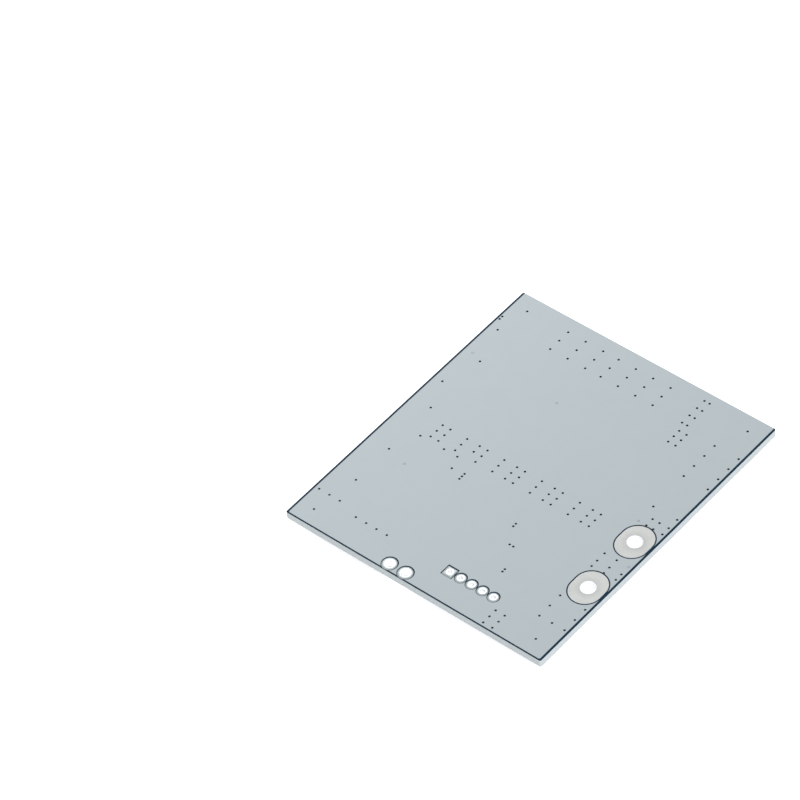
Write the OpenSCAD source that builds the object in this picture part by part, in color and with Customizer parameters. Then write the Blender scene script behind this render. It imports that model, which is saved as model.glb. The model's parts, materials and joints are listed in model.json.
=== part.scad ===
// Protection board for a four-cell battery pack.
// It lies on its component side, so that its plain back face looks up.
// Origin: middle of the outline, on the plane that the tallest packages rest on.
// +X points to the lug edge, +Y away from the wire edge, +Z out of the back face.
// Places on the board are measured from the left edge and from the wire edge.

/* [Board] */
// Width, from the left edge to the lug edge
board_w = 60; // [60:1:80]
// Length, from the wire edge to the far edge
board_l = 69; // [69:1:90]
// Corner radius of the routed outline
corner_r = 0.3; // [0.2:0.1:1]
// Thickness of the glass-epoxy laminate
laminate_t = 1.5; // [0.8:0.1:2.4]
// Thickness of the solder mask on the back
back_mask_t = 0.04; // [0.02:0.01:0.06]
// Thickness of the pale coat printed over the back mask
coat_t = 0.03; // [0.02:0.01:0.06]
// Thickness of the solder mask on the component side
front_mask_t = 0.03; // [0.02:0.01:0.06]
// Thickness of the copper foil on the component side
copper_t = 0.035; // [0.02:0.005:0.05]
// Gap between a mask opening and the pad in it
mask_gap = 0.05; // [0.02:0.01:0.1]
// Distance that the pale coat keeps from a lug pad
coat_gap = 0.28; // [0.15:0.01:0.4]
// Distance that the pale coat keeps from a balance pad or a wire pad
small_coat_gap = 0.385; // [0.155:0.01:0.405]
// Distance that the pale coat keeps from a via
via_coat_gap = 0.04; // [0.02:0.01:0.1]
// Distance that the pale coat keeps from the left and lug edges
coat_margin = 0.45; // [0.2:0.05:1]
// Distance that the pale coat keeps from the wire edge
wire_coat_margin = 0.3; // [0.2:0.05:0.8]

/* [Plating] */
// Thickness of the plating in a drilled hole
plating_t = 0.05; // [0.03:0.01:0.08]
// Thickness of the pads on the back
back_pad_t = 0.06; // [0.03:0.01:0.06]
// Thickness of the tinned lands on the component side
land_t = 0.1; // [0.06:0.01:0.2]

/* [Lug terminals] */
// Finished diameter of a lug hole
lug_hole_d = 3; // [2.6:0.1:4.2]
// Width of a lug pad, across the lug edge
lug_pad_w = 6.4; // [5:0.1:6.8]
// Length of a lug pad, along the lug edge
lug_pad_l = 8; // [7:0.1:8.4]
// Distance of the lug holes from the lug edge
lug_inset = 3.9; // [3.9:0.1:4.2]
// Distance of the first lug hole from the wire edge
lug_y = 18.5; // [18.4:0.1:18.6]
// Distance between the two lug holes
lug_spacing = 13.5; // [13.3:0.1:13.6]

/* [Balance row] */
// Number of plated holes in the balance row
pin_count = 5; // [3:1:5]
// Distance between two holes of the balance row
pin_pitch = 2.54; // [2.5:0.02:2.6]
// Finished diameter of a balance hole
pin_hole_d = 1; // [0.8:0.05:1.1]
// Diameter of a round balance pad
pin_pad_d = 1.8; // [1.6:0.1:2.1]
// Width of the square pad that marks the first hole
pin_square_w = 1.8; // [1.6:0.1:2.2]
// Distance of the first balance hole from the left edge
pin_x = 33.65; // [33:0.05:34]
// Distance of the balance row from the wire edge
pin_y = 6.65; // [5:0.05:7.5]

/* [Wire holes] */
// Finished diameter of a wire hole
wire_hole_d = 1.9; // [1.2:0.1:2.2]
// Diameter of a wire pad
wire_pad_d = 2.6; // [2.5:0.1:3]
// Distance between the two wire holes
wire_pitch = 3.75; // [3.45:0.05:4.2]
// Distance of the first wire hole from the left edge
wire_x = 23.55; // [22:0.05:25]
// Distance of the wire holes from the wire edge
wire_y = 1.7; // [1.7:0.05:3]

/* [Vias] */
// Finished diameter of a via
via_d = 0.4; // [0.3:0.05:0.45]
// Diameter of the copper ring round a via
via_ring_d = 0.65; // [0.6:0.05:0.7]

/* [Copper] */
// Width of a signal track
track_w = 0.2; // [0.15:0.05:0.3]
// Width of a gate track
gate_track_w = 0.35; // [0.3:0.05:0.5]
// Width of a track that carries balance current
bleed_track_w = 0.7; // [0.5:0.1:1]
// Distance of the copper from the edges of the board
copper_inset = 0.6; // [0.4:0.1:1]

/* [Power transistors] */
// Number of discharge transistors, in the row that is nearer to the wire edge
discharge_count = 5; // [1:1:5]
// Number of charge transistors, in the row that is nearer to the far edge
charge_count = 4; // [1:1:4]
// Distance of the first transistor of each row from the left edge
fet_x = 10.5; // [9.5:0.1:10.6]
// Distance of the last place of a row from the lug edge
fet_lug_gap = 13.9; // [13.5:0.1:14.5]
// Line midway between the two rows, as a share of the board's length
fet_rows_share = 0.67; // [0.66:0.01:0.68]
// Gap between the drain lands of the two rows
fet_row_gap = 1.7; // [1.2:0.1:2]
// Width of a transistor moulding
fet_w = 6.6; // [6.2:0.1:6.8]
// Length of a transistor moulding
fet_l = 6.1; // [5.8:0.1:6.3]
// Height of a transistor above its lands
fet_h = 2.3; // [2.2:0.1:2.6]
// Width of the drain tab
fet_tab_w = 5.3; // [4.6:0.1:5.8]
// Length of the drain tab outside the moulding
fet_tab_out = 1.1; // [0.6:0.1:1.2]
// Thickness of the tab and the leads
fet_metal_t = 0.5; // [0.4:0.05:0.6]
// Width of a transistor lead
fet_lead_w = 0.76; // [0.6:0.02:0.9]
// Distance of the outer leads from the middle of the transistor
fet_lead_x = 2.28; // [2.1:0.02:2.4]
// Reach of a lead from the moulding
fet_lead_out = 2.75; // [2.5:0.05:2.9]

/* [Other packages] */
// Length of a current sense resistor
sense_l = 6.4; // [6:0.1:6.6]
// Width of a current sense resistor
sense_w = 3.2; // [2.8:0.1:3.3]
// Height of a current sense resistor
sense_h = 0.75; // [0.5:0.05:1]
// Distance between two sense resistors
sense_pitch = 3.8; // [3.7:0.1:3.8]
// Length of the monitor chip's moulding
monitor_l = 6.5; // [6.5:0.1:7]
// Width of the monitor chip's moulding
monitor_w = 4.4; // [4:0.1:4.6]
// Height of the monitor chip above its lands
monitor_h = 1.1; // [0.9:0.05:1.6]
// Distance between two leads of the monitor chip
monitor_pitch = 0.65; // [0.6:0.01:0.66]
// Length of a small outline moulding
small_l = 2.9; // [2.8:0.05:3]
// Width of a small outline moulding
small_w = 1.6; // [1.3:0.05:1.7]
// Height of a small outline chip above its lands
small_h = 1.15; // [0.9:0.05:1.4]
// Length of a diode moulding
diode_l = 4.4; // [4.2:0.1:4.6]
// Width of a diode moulding
diode_w = 3.6; // [3.2:0.1:3.8]
// Width of a diode lead
diode_lead_w = 2.1; // [1.8:0.1:2.3]

/* [Chip parts] */
// Length of a bleed resistor
bleed_l = 3.2; // [3:0.1:3.3]
// Width of a bleed resistor
bleed_w = 1.6; // [1.4:0.05:1.65]
// Height of a bleed resistor
bleed_h = 0.6; // [0.4:0.05:0.8]
// Length of a small chip part
chip_l = 1.6; // [1.5:0.05:1.7]
// Width of a small chip part
chip_w = 0.8; // [0.7:0.05:0.85]
// Height of a small chip resistor
resistor_h = 0.45; // [0.35:0.05:0.6]
// Height of a small chip capacitor
capacitor_h = 0.8; // [0.5:0.05:0.9]
// Thickness of the plated end of a chip part
end_t = 0.04; // [0.03:0.01:0.06]

/* [Hidden] */
$fn = 48;
cut = 1;                                // how far a cutting shape runs past a face

// Levels, from the plane that the tallest packages rest on
front_z = fet_h + land_t;               // component face of the laminate
back_z = front_z + laminate_t;          // back face of the laminate
mask_z = back_z + back_mask_t;          // outer face of the back mask

// Distances from the lug edge and from the far edge, as places on the board
function from_lug_edge(d) = board_w - d;
function from_far_edge(d) = board_l - d;

// The small parts keep their share of the board. Their places are counted in
// steps: 60 across the width and 69 along the length.
function across_board(x) = x * board_w / 60;
function along_board(y) = y * board_l / 69;
function spot(x, y, turn = 0) = [across_board(x), along_board(y), turn];
function bank(xs, ys) = [for (x = xs, y = ys) [x, y]];
function spots(xs, ys, turn = 0) = [for (x = xs, y = ys) spot(x, y, turn)];
function steps(first, step, count) = [for (i = [0:count - 1]) first + i * step];

// Places of the plated holes
lug_x = from_lug_edge(lug_inset);
lug_places = [[lug_x, lug_y], [lug_x, lug_y + lug_spacing]];
pin_places = [for (i = [0:pin_count - 1]) [pin_x + i * pin_pitch, pin_y]];
wire_places = [for (i = [0:1]) [wire_x + i * wire_pitch, wire_y]];

// Places of the power transistors; a full row has five
row_steps = 4;
fet_pitch = (board_w - fet_x - fet_lug_gap) / row_steps;
fet_land_past = 0.4;                    // drain land beyond the end of the tab
fet_reach = fet_l / 2 + fet_tab_out + fet_land_past;
discharge_y = fet_rows_share * board_l - fet_reach - fet_row_gap / 2;
charge_y = fet_rows_share * board_l + fet_reach + fet_row_gap / 2;
function row_x(i) = fet_x + i * fet_pitch;
discharge_xs = [for (i = [0:discharge_count - 1]) row_x(i)];
charge_xs = [for (i = [0:charge_count - 1]) row_x(i)];

// Places of the other packages
sense_past = 0.5;                       // land beyond the end of a sense resistor
sense_places = [for (i = [0:2])
    [from_lug_edge(11.1) + i * sense_pitch, from_far_edge(sense_l / 2 + 1.4)]];
channel_steps = steps(10, 4.5, 4);
monitor_place = spot(30.5, 19.5);
channel_places = spots(channel_steps, [15.2]);
driver_places = spots([43.4], [17.5, 22.2]);
input_diode_place = spot(5.35, 18.4);
output_diode_place = spot(48, 13);
bleed_places = concat(spots(steps(1.6, 2.5, 3), [10.9]), spots(steps(11.3, 2.5, 4), [9.6]));
gate_step = fet_pitch / 2;              // from a transistor's middle to its gate resistor
gate_reach = fet_l / 2 + fet_lead_out - 1.15;

// Small chip parts: place, and the turn of the part's length from +X
channel_resistors = spots(channel_steps, [18.6]);
channel_capacitors = spots(channel_steps, [20.4]);
filter_resistors = spots([36.6], steps(12.4, 1.8, 3));
pull_resistors = spots(steps(39.6, 3, 3), [26.4]);
cell_capacitors = spots(steps(25.4, 3.2, 3), [26.4]);
supply_capacitors = spots([28, 31.2], [12.6]);
clock_capacitor = spot(38.9, 22.6, 90);
resistor_places = concat(
    [for (x = discharge_xs) [x + gate_step, discharge_y - gate_reach, 90]],
    [for (x = charge_xs) [x + gate_step, charge_y + gate_reach, 90]],
    channel_resistors,
    filter_resistors,
    pull_resistors
);
capacitor_places = concat(channel_capacitors, cell_capacitors, [clock_capacitor],
    supply_capacitors);

// Vias
via_clear = 0.35;                       // from a lug pad's end to the first row of vias
lug_1_end = lug_places[0].y + lug_pad_l / 2;
lug_2_end = lug_places[1].y + lug_pad_l / 2;
lug_1_start = lug_places[0].y - lug_pad_l / 2;
lug_2_start = lug_places[1].y - lug_pad_l / 2;
function beyond_lug(end, distances) = [for (d = distances) end + via_clear + d];
source_rows = steps(discharge_y - 10.8, 1.75, 3);
source_gap = [1, -1, 0];                // transistor, side and row where a via is left out
source_vias = concat(
    [for (i = [0:row_steps], side = [-1, 1], row = [0:2])
        if ([i, side, row] != source_gap) [row_x(i) + side * 0.93, source_rows[row]]],
    [for (i = [0:row_steps - 1], y = source_rows) [row_x(i) + fet_pitch / 2 + 0.5, y]]
);
far_rows = steps(from_far_edge(8.6), 2.7, 3);
far_vias = bank([for (x = concat(steps(13.5, 4.2, 3), steps(25.6, 4.1, 4))) across_board(x)],
    far_rows);
sense_vias = concat(
    bank(steps(from_lug_edge(15), 1.2, 2), steps(from_far_edge(8.85), 2.25, 4)),
    bank(steps(from_lug_edge(14.15), 1.7, 2), steps(from_far_edge(14.1), 1.65, 3))
);
output_vias = bank(steps(from_lug_edge(6.6), 5.55, 2), steps(from_far_edge(19.15), 3.07, 4));
lug_vias = concat(
    bank([from_lug_edge(6.5)], beyond_lug(lug_2_end, [0, 4.35])),
    bank([for (d = [4.7, 3.1]) from_lug_edge(d)], beyond_lug(lug_2_end, [0, 1.85])),
    bank([from_lug_edge(1)], beyond_lug(lug_2_end, [0, 1.85, 4.35])),
    bank([for (d = [6.6, 3.8, 1.05]) from_lug_edge(d)], beyond_lug(lug_1_end, [0, 1.6, 3.75])),
    bank([for (d = [6.8, 1.05]) from_lug_edge(d)], steps(lug_1_start - 6.35, 2.95, 3)),
    bank([from_lug_edge(3.9)], [lug_1_start - 6.35])
);
bleed_vias = concat(spots(steps(1.3, 2.5, 3), [7.9]), spots(steps(11.3, 2.47, 4), [6.6]));
source_line_vias = spots([7.9, 13.6, 16.8], [29.05]);
monitor_left_vias = concat([spot(17.8, 26.25)], spots([20.6], steps(25.05, 0.75, 3)));
monitor_right_vias = concat(spots([35.95], [21.9, 22.65]), spots([38.2, 39.05], [18.1]));
driver_vias = spots([41.25], [12.3, 13]);
input_vias = bank(steps(from_lug_edge(13.9), 2.1, 2), steps(0.95, 1.75, 3));
diode_vias = [spot(5.35, 13.6), spot(5.3, 23.1)];
balance_via = spot(10.05, 21.9);
drain_via = spot(23.2, 50.3);
gate_vias = [spot(4.9, 35.65), spot(4.8, 50.2)];
left_vias = [spot(2.35, 42.1), spot(2.3, 51.1), spot(2.3, 58.5), spot(0.8, 60.9), spot(0.8, 61.7)];
signal_vias = concat(source_line_vias, monitor_left_vias, monitor_right_vias, driver_vias,
    input_vias, diode_vias, [balance_via, drain_via], gate_vias, left_vias);
corner_vias = bank([3.8, from_lug_edge(3.9)], [3.55, from_far_edge(3.5)]);
vias = concat(source_vias, far_vias, sense_vias, output_vias, lug_vias, bleed_vias,
    signal_vias, corner_vias);

// Package proportions
fet_body_z = fet_h * 0.52;              // parting line of a transistor moulding
fet_lead_z = 1;                         // underside of a lead where it leaves the moulding
fet_foot = 1.2;                         // flat length of a lead's foot
fet_bend = 0.25;                        // inner radius of a lead's bends
fet_stub = 0.7;                         // length of the cut middle lead outside the moulding
lead_root = 0.35;                       // length of a lead inside its moulding
monitor_side = 10;                      // leads on each side of the monitor chip
monitor_lead = [0.24, 0.13, 1, 0.12];   // width, thickness, reach and bend of a lead
small_lead = [0.4, 0.15, 0.6, 0.06];
small_pitch = 0.95;
stand_off = 0.08;                       // gap under a moulding that stands on leads
band = 0.3;                             // plated length at each end of a small chip
bleed_band = 0.5;
sense_band = 1.3;
bar_w = 4;                              // width of the solder bars beside the lugs
bar_h = 0.35;                           // height of the solder on a bar

// ---------- general shapes ----------

// Outline of the board, taken in by a margin on chosen sides
module board_outline(left = 0, lug = 0, wire = 0, far = 0) {
    w = board_w - left - lug;
    l = board_l - wire - far;
    translate([left - board_w / 2, wire - board_l / 2]) {
        translate([corner_r, 0]) square([w - 2 * corner_r, l]);
        translate([0, corner_r]) square([w, l - 2 * corner_r]);
        for (x = [corner_r, w - corner_r], y = [corner_r, l - corner_r])
            translate([x, y]) circle(corner_r);
    }
}

// Moves 2D shapes to each of a list of places on the board
module at_places(places) {
    for (p = places) translate([p.x - board_w / 2, p.y - board_l / 2]) children();
}

// A long round shape that stands along Y
module obround(w, l) {
    square([w, l - w], center = true);
    for (side = [-1, 1]) translate([0, side * (l - w) / 2]) circle(w / 2);
}

// Outlines of the pads on the back, grown by a gap
module lug_pads(gap = 0) {
    at_places(lug_places) obround(lug_pad_w + 2 * gap, lug_pad_l + 2 * gap);
}
module pin_pads(gap = 0) {
    at_places([pin_places[0]]) square(pin_square_w + 2 * gap, center = true);
    at_places([for (i = [1:pin_count - 1]) pin_places[i]]) circle(pin_pad_d / 2 + gap);
}
module wire_pads(gap = 0) {
    at_places(wire_places) circle(wire_pad_d / 2 + gap);
}
module back_pads(gap) {
    lug_pads(gap);
    pin_pads(gap);
    wire_pads(gap);
}

// Moves a package to the component side. In its own frame a package stands
// upwards on the laminate's face, and turn is counted from +X.
module on_front(place, turn = 0) {
    translate([place.x - board_w / 2, place.y - board_l / 2, front_z])
        rotate([180, 0, turn]) children();
}

// Points along an arc
function arc(x, y, r, first, last, parts = 4) =
    [for (i = [0:parts]) let (a = first + (last - first) * i / parts)
        [x + r * cos(a), y + r * sin(a)]];

// Stands a profile drawn as reach and height up across a width
module across(w) {
    rotate([90, 0, 90]) translate([0, 0, -w / 2]) linear_extrude(w) children();
}

// A moulding with its widest line at the height part_z
module moulding(w, l, bottom, part_z, top, lean = 0.12) {
    intersection() {
        across(w + cut) moulding_profile(l, bottom, part_z, top, lean);
        rotate([0, 0, 90]) across(l + cut) moulding_profile(w, bottom, part_z, top, lean);
    }
}
module moulding_profile(w, bottom, part_z, top, lean) {
    low = (part_z - bottom) * lean;
    high = (top - part_z) * lean;
    polygon([
        [-w / 2 + low, bottom], [w / 2 - low, bottom], [w / 2, part_z],
        [w / 2 - high, top], [-w / 2 + high, top], [-w / 2, part_z]
    ]);
}

// A flat lead that leaves a moulding along +Y, bends down and ends in a flat foot.
// bend is the inner radius of both bends.
module bent_lead(w, t, z, bend, straight, reach) {
    r = min(bend, (z - t) / 2);
    near = straight + r + t;
    far = near + r;
    across(w) polygon(concat(
        [[-lead_root, z + t]], arc(straight, z - r, r + t, 90, 0),
        arc(far, t + r, r, 180, 270), [[reach, t], [reach, 0]],
        arc(far, t + r, r + t, 270, 180), arc(straight, z - r, r, 0, 90), [[-lead_root, z]]
    ));
}

// A concave solder fillet that runs out along +Y and climbs a wall at y = 0
module fillet(w, run, rise) {
    across(w) polygon(concat(
        [[0, 0]], [for (a = [0:22.5:90]) [run * (1 - sin(a)), rise * (1 - cos(a))]]
    ));
}

// Fillets at both ends of a part whose length lies along X
module end_fillets(l, w, run, rise) {
    for (turn = [-90, 90]) rotate([0, 0, turn]) translate([0, l / 2, land_t]) fillet(w, run, rise);
}

// Both lands of a part whose length lies along X
module end_lands(l, w, under, past) {
    for (side = [-1, 1]) translate([side * (l / 2 + (past - under) / 2), 0])
        square([under + past, w], center = true);
}

// ---------- board ----------

module laminate() {
    color("beige") translate([0, 0, front_z]) linear_extrude(laminate_t) difference() {
        board_outline();
        at_places(vias) circle(via_d / 2 + plating_t);
        at_places(lug_places) circle(lug_hole_d / 2 + plating_t);
        at_places(pin_places) circle(pin_hole_d / 2 + plating_t);
        at_places(wire_places) circle(wire_hole_d / 2 + plating_t);
    }
}

module back_mask() {
    color("midnightblue") translate([0, 0, back_z]) linear_extrude(back_mask_t) difference() {
        board_outline();
        back_pads(mask_gap);
        at_places(vias) circle(via_d / 2);
    }
}

module back_coat() {
    color("lightsteelblue") translate([0, 0, mask_z]) linear_extrude(coat_t) difference() {
        board_outline(left = coat_margin, lug = coat_margin, wire = wire_coat_margin);
        lug_pads(coat_gap);
        pin_pads(small_coat_gap);
        wire_pads(small_coat_gap);
        at_places(vias) circle(via_d / 2 + via_coat_gap);
    }
}

// The copper foil of the component side, less the lands and pads that it runs into
module front_copper() {
    color("orange") translate([0, 0, front_z - copper_t]) linear_extrude(copper_t) difference() {
        copper_pattern();
        back_pads(0);
        at_places(vias) circle(via_d / 2);
        front_lands();
        solder_bar_land(negative_bar);
        solder_bar_land(output_bar);
    }
}

// The mask lies on the laminate and rises over the copper, round its sides too
module front_mask() {
    color("darkblue") difference() {
        union() {
            translate([0, 0, front_z - front_mask_t])
                linear_extrude(front_mask_t) front_mask_shape() board_outline();
            translate([0, 0, front_z - front_mask_t - copper_t])
                linear_extrude(front_mask_t + copper_t)
                    front_mask_shape() copper_pattern(front_mask_t);
        }
        translate([0, 0, front_z - copper_t]) linear_extrude(copper_t + cut) copper_pattern();
    }
}

// Cuts the mask openings out of a shape
module front_mask_shape() {
    difference() {
        children();
        back_pads(mask_gap);
        at_places(vias) circle(via_d / 2);
        front_lands(mask_gap);
        solder_bar_land(negative_bar, mask_gap);
        solder_bar_land(output_bar, mask_gap);
    }
}

module via_barrels() {
    color("peru") translate([0, 0, front_z]) linear_extrude(laminate_t) at_places(vias)
        difference() {
            circle(via_d / 2 + plating_t);
            circle(via_d / 2);
        }
}

// A plated hole: a pad on each side, joined by the barrel. The child is the pad's outline.
module plated_hole(place, d) {
    color("gainsboro") translate([place.x - board_w / 2, place.y - board_l / 2, 0])
        difference() {
            union() {
                translate([0, 0, front_z - land_t]) linear_extrude(land_t) children();
                translate([0, 0, front_z]) linear_extrude(laminate_t) circle(d / 2 + plating_t);
                translate([0, 0, back_z]) linear_extrude(back_pad_t) children();
            }
            translate([0, 0, front_z - land_t - cut]) cylinder(h = laminate_t + 3 * cut, d = d);
        }
}

module lug_terminal(i) {
    plated_hole(lug_places[i], lug_hole_d) obround(lug_pad_w, lug_pad_l);
}

module balance_terminal(i) {
    plated_hole(pin_places[i], pin_hole_d)
        if (i == 0) square(pin_square_w, center = true);
        else circle(pin_pad_d / 2);
}

module cable_terminal(i) {
    plated_hole(wire_places[i], wire_hole_d) circle(wire_pad_d / 2);
}

// Bars of bare copper, loaded with solder, that carry the current beside the lugs:
// distance of the middle from the lug edge, first and last distance from the wire edge
negative_bar = [lug_inset, lug_1_start - 5.5, lug_1_start - 0.7];
output_bar = [lug_inset, lug_2_end + 6.4, sense_places[0].y - sense_l / 2 - sense_past - 1.1];

module solder_bar_land(bar, gap = 0) {
    length = bar[2] - bar[1];
    at_places([[from_lug_edge(bar[0]), bar[1] + length / 2]])
        obround(bar_w + 2 * gap, length + 2 * gap);
}

module solder_bar(bar) {
    length = bar[2] - bar[1];
    crown_r = (pow(bar_w / 2, 2) + pow(bar_h, 2)) / (2 * bar_h);
    color("silver") intersection() {
        translate([0, 0, front_z - land_t - bar_h])
            linear_extrude(land_t + bar_h) solder_bar_land(bar);
        union() {
            translate([0, 0, front_z - land_t]) linear_extrude(land_t)
                board_outline();
            on_front([from_lug_edge(bar[0]), bar[1] + length / 2])
                rotate([90, 0, 0]) translate([0, 0, -length / 2]) linear_extrude(length)
                    translate([0, land_t]) intersection() {
                        translate([0, bar_h - crown_r]) circle(crown_r, $fn = 96);
                        translate([-bar_w / 2, 0]) square([bar_w, bar_h]);
                    }
        }
    }
}

// ---------- copper of the component side ----------

// Direction from one point to the next, and the direction to the left of another
function heading(a, b) = (b - a) / norm(b - a);
function left_of(v) = [-v.y, v.x];

// One side of a track at a distance d from its line, mitred at the bends
function beside(line, d) = [for (i = [0:len(line) - 1])
    let (a = max(i, 1), b = min(i + 1, len(line) - 1),
        into = heading(line[a - 1], line[a]), out = heading(line[b - 1], line[b]))
    line[i] + (left_of(into) + left_of(out)) * d / (1 + into * out)];
function reverse(line) = [for (i = [len(line) - 1:-1:0]) line[i]];

// A line from a to b with one stretch at 45 degrees in its middle
function dogleg(a, b) =
    let (d = b - a, slack = (abs(d.x) - abs(d.y)) / 2,
        run = slack > 0 ? [sign(d.x) * slack, 0] : [0, -sign(d.y) * slack])
    min(abs(d.x), abs(d.y)) < track_w || abs(slack) < track_w / 2
        ? [a, b] : [a, a + run, b - run, b];

// A track along a line, and an area between two corners
module track(line, w, gap) {
    at_places([[0, 0]])
        polygon(concat(beside(line, w / 2 + gap), reverse(beside(line, -w / 2 - gap))));
}
module area(low, high, gap) {
    at_places([low - [gap, gap]]) square(high - low + 2 * [gap, gap]);
}

// Points on the lands, for tracks to run to
fet_land_y = fet_l / 2 + fet_lead_out - 0.7;
gull_reach = small_w / 2 + small_lead[2] - 0.15;
function flat(place) = [place.x, place.y];
function chip_land(place, side) = flat(place) + [side * chip_l / 2, 0];
function bleed_land(i, side) = flat(bleed_places[i]) + [0, side * (bleed_l / 2 + 0.1)];
function channel_land(k, side, i) = flat(channel_places[k]) + [i * small_pitch, side * gull_reach];
function driver_land(k, side, i) = flat(driver_places[k]) + [side * gull_reach, i * small_pitch];
function diode_land(place, side) = flat(place) + [0, side * diode_l / 2];
function monitor_land(side, i) = flat(monitor_place)
    + [side * (monitor_w / 2 + monitor_lead[2] - 0.15), (i - (monitor_side - 1) / 2) * monitor_pitch];

// Areas that carry the battery current between the lugs and the transistors
module power_areas(gap) {
    left = fet_x - fet_w / 2 - 0.7;
    middle = fet_rows_share * board_l;
    edge = from_lug_edge(copper_inset);
    far = from_far_edge(copper_inset);
    lug_left = from_lug_edge(8.1);
    discharge_end = row_x(discharge_count - 1) + fet_pitch / 2 + 0.2;
    discharge_low = source_rows[0] - via_ring_d / 2;
    lug_1_high = lug_1_end + via_clear;
    sense_left = sense_places[0].x - sense_w / 2;
    sense_right = sense_places[2].x + sense_w / 2;
    drain_past = fet_tab_w / 2 + 1.15;      // from a transistor's middle to the drains' side
    drain_back = 2.1;                       // and to the end under the moulding
    source_left = 3.6;                      // from a transistor's middle to a source's sides
    source_right = 1.2;
    lead_past = 1.3;                        // from the lead lands' middle to a source's end
    lead_clear = 1.5;                       // and to the area that the sources share

    // Drains of both rows
    area([left, discharge_y - drain_back],
        [row_x(discharge_count - 1) + drain_past, middle], gap);
    area([left, middle - cut],
        [row_x(charge_count - 1) + drain_past, charge_y + drain_back], gap);

    // Sources of the discharge row, and round to the negative lug
    area([left, discharge_low], [discharge_end, discharge_y - fet_land_y - lead_clear], gap);
    for (x = discharge_xs)
        area([x - source_left, discharge_y - fet_land_y - lead_clear - cut],
            [x + source_right, discharge_y - fet_land_y + lead_past], gap);
    area([discharge_end - 3.2, lug_1_high], [discharge_end, discharge_low + cut], gap);
    area([discharge_end - cut, lug_1_high], [edge, lug_2_start - 0.6], gap);
    area([lug_left, lug_1_start - 6.8], [edge, lug_1_high + cut], gap);

    // Sources of the charge row, and along the far edge to the sense resistors
    area([left, charge_y + fet_land_y + lead_clear], [sense_left - 0.5, far], gap);
    for (x = charge_xs)
        area([x - source_left, charge_y + fet_land_y - lead_past],
            [x + source_right, charge_y + fet_land_y + lead_clear + cut], gap);
    area([sense_left - cut, from_far_edge(2)], [sense_right, far], gap);
    area([from_lug_edge(17.5), from_far_edge(14.7)],
        [from_lug_edge(11.8), from_far_edge(9.9)], gap);

    // From the sense resistors to the output lug
    area([sense_left, from_far_edge(9.4)], [sense_right, from_far_edge(7)], gap);
    area([lug_left, lug_2_start - 0.3], [edge, from_far_edge(9.4 - cut)], gap);

    // From the second wire hole to the vias beside the lug edge
    area([wire_places[1].x, wire_y - 0.6], [input_vias[0].x, wire_y + 0.6], gap);
    area([input_vias[0].x - via_ring_d, copper_inset],
        [input_vias[5].x + via_ring_d, input_vias[5].y + via_ring_d], gap);
}

// Gate drive of both rows: a rail under the mouldings, with a resistor to each gate
module gate_tracks(gap) {
    rail_corner = 0.8;
    for (row = [[discharge_xs, discharge_y, -1, gate_vias[0]], [charge_xs, charge_y, 1, gate_vias[1]]])
        let (xs = row[0], way = row[2], via = flat(row[3]),
            rail = row[1] + way * fet_l / 2, near = row[1] + way * (gate_reach - chip_l / 2),
            far = row[1] + way * (gate_reach + chip_l / 2))
        {
            for (x = xs) {
                track([[x + gate_step, rail], [x + gate_step, near]], gate_track_w, gap);
                track([[x + fet_lead_x, far], [x + gate_step, far]], gate_track_w, gap);
            }
            track([[xs[len(xs) - 1] + gate_step, rail], [via.x + rail_corner, rail],
                [via.x, rail + sign(via.y - rail) * rail_corner], via], gate_track_w, gap);
        }
}

// Balance circuit: bleed resistors, balance chips, and a filter for each cell
module balance_tracks(gap) {
    for (i = [0:len(bleed_places) - 1])
        track(dogleg(bleed_land(i, -1), flat(bleed_vias[i])), bleed_track_w, gap);
    track([bleed_land(0, 1), bleed_land(2, 1)], bleed_track_w, gap);
    for (link = [[3, 0, 0], [4, 1, 0], [5, 2, -1]])
        track(dogleg(bleed_land(link[0], 1), channel_land(link[1], -1, link[2])), track_w, gap);
    for (k = [0:2]) track([channel_land(k, -1, 1), channel_land(k + 1, -1, -1)], track_w, gap);

    // From each chip through its resistor, past its capacitor and to the monitor chip
    for (k = [0:3]) let (
        chip = channel_land(k, 1, -1), tap = chip_land(channel_resistors[k], 1),
        level = monitor_place.y + 3 - 0.4 * k, lead = monitor_land(-1, monitor_side - 1 - k),
        turn_x = lead.x - 1.2)
    {
        track([chip, [chip.x, channel_resistors[k].y]], track_w, gap);
        track([tap, [tap.x, level - 0.3], [tap.x + 0.3, level],
            [turn_x - level + lead.y, level], [turn_x, lead.y], lead], track_w, gap);
    }
}

// Filter between the balance row and the monitor chip
module filter_tracks(gap) {
    lane = across_board(39.5);
    for (i = [1:min(3, pin_count - 1)])
        let (pin = pin_places[i], end = chip_land(filter_resistors[i - 1], 1), x = min(lane, pin.x))
            track(i == 1 ? dogleg(pin, end) : concat([pin],
                pin.x > lane + track_w
                    ? [[pin.x, pin.y + 3.5], [lane, pin.y + 3.5 + pin.x - lane]] : [],
                [[x, end.y - x + end.x], end]), track_w, gap);
    out = 0.45;                             // straight run at each end of a track
    for (i = [0:1])
        let (start = chip_land(filter_resistors[i], -1), lead = monitor_land(1, i),
            first = start - [out, 0], last = lead + [out, 0],
            x = last.x + (first.x - last.x) * (i + 1) / 3)
            track([start, first, [x, first.y + first.x - x], [x, last.y - x + last.x],
                last, lead], track_w, gap);
    last = chip_land(filter_resistors[2], -1);
    top = monitor_land(1, 2);
    track([last, [last.x, top.y - 0.9], [last.x - 0.9, top.y], top], track_w, gap);
}

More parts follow.
